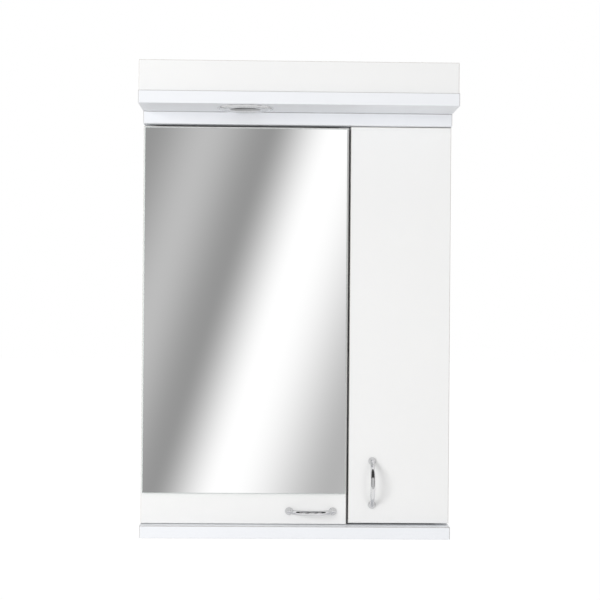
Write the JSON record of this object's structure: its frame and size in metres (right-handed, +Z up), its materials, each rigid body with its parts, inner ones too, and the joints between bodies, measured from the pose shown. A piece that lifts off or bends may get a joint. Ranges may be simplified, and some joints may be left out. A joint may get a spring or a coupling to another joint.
{
  "type": "bathroom mirror cabinet",
  "caption": "Wall-hung bathroom mirror cabinet with hinged mirror and side doors, shelves, bow handles and a lit canopy board with an upright fascia.",
  "frame": {"origin": "on the wall plane, midway between the two hanging holes in the rail", "axes": "+X to the right of someone facing the cabinet, +Y into the wall, +Z up"},
  "size_m": [0.45, 0.2403, 0.681],
  "materials": {
    "carcass_laminate": "white melamine-faced chipboard, satin, slightly cool",
    "front_laminate": "white foil-faced board, smooth satin",
    "hardboard": "white-faced 3 mm hardboard",
    "mirror": "float glass silvered on its back",
    "foam_tape": "double-sided foam tape",
    "handle_chrome": "polished chrome plate",
    "ring_chrome": "satin chrome plate",
    "beech": "fluted beech dowel",
    "white_plastic": "moulded white plastic",
    "clear_rubber": "soft clear buffer",
    "lamp_glass": "faceted reflector with a clear front",
    "ceramic": "unglazed ceramic",
    "cable_sheath": "white PVC sheath",
    "hinge_steel": "nickel-plated pressed steel",
    "screw_steel": "zinc-plated steel"
  },
  "bodies": {
    "carcass": {"back_panel": "hardboard", "bottom_panel": "carcass_laminate", "cable_clamp": "white_plastic", "canopy_board": "carcass_laminate", "canopy_dowels": "beech", "canopy_fascia": "front_laminate", "canopy_return_left": "front_laminate", "canopy_return_right": "front_laminate", "canopy_screws": "screw_steel", "door_buffers": "clear_rubber", "fixing_screws": "screw_steel", "hanging_rail": "carcass_laminate", "hinge_arm_screws_left": "screw_steel", "hinge_arm_screws_right": "screw_steel", "hinge_arms_left": "hinge_steel", "hinge_arms_right": "hinge_steel", "hinge_plate_screws_left": "screw_steel", "hinge_plate_screws_right": "screw_steel", "hinge_plates_left": "hinge_steel", "hinge_plates_right": "hinge_steel", "lamp_holder": "ceramic", "lamp_lead": "cable_sheath", "panel_dowels": "beech", "panel_screws_bottom": "screw_steel", "panel_screws_top": "screw_steel", "partition_panel": "carcass_laminate", "rail_screws": "screw_steel", "reflector_lamp": "lamp_glass", "ring_clips": "screw_steel", "screw_caps": "white_plastic", "shelf_left_1": "carcass_laminate", "shelf_left_2": "carcass_laminate", "shelf_left_3": "carcass_laminate", "shelf_pins_left": "screw_steel", "shelf_pins_right": "screw_steel", "shelf_right_1": "carcass_laminate", "shelf_right_2": "carcass_laminate", "shelf_right_3": "carcass_laminate", "side_panel_left": "carcass_laminate", "side_panel_right": "carcass_laminate", "spotlight_ring": "ring_chrome", "supply_lead": "cable_sheath", "terminal_block": "white_plastic", "top_panel": "carcass_laminate", "transformer": "white_plastic"},
    "left_door": {"hinge_cup_screws_left": "screw_steel", "hinge_cups_left": "hinge_steel", "hinge_pins_left": "hinge_steel", "left_door_panel": "front_laminate", "left_handle": "handle_chrome", "left_handle_screws": "screw_steel", "mirror_glass": "mirror", "mirror_tape": "foam_tape"},
    "right_door": {"hinge_cup_screws_right": "screw_steel", "hinge_cups_right": "hinge_steel", "hinge_pins_right": "hinge_steel", "right_door_panel": "front_laminate", "right_handle": "handle_chrome", "right_handle_screws": "screw_steel"}
  },
  "joints": [
    {"name": "left_door_hinge", "type": "hinge", "parent": "carcass", "child": "left_door", "pos_m": [-0.2177, -0.1325, -0.255], "axis": [0, 0, -1], "range_deg": [0, 95]},
    {"name": "right_door_hinge", "type": "hinge", "parent": "carcass", "child": "right_door", "pos_m": [0.2177, -0.1325, -0.255], "axis": [0, 0, 1], "range_deg": [0, 95]}
  ]
}
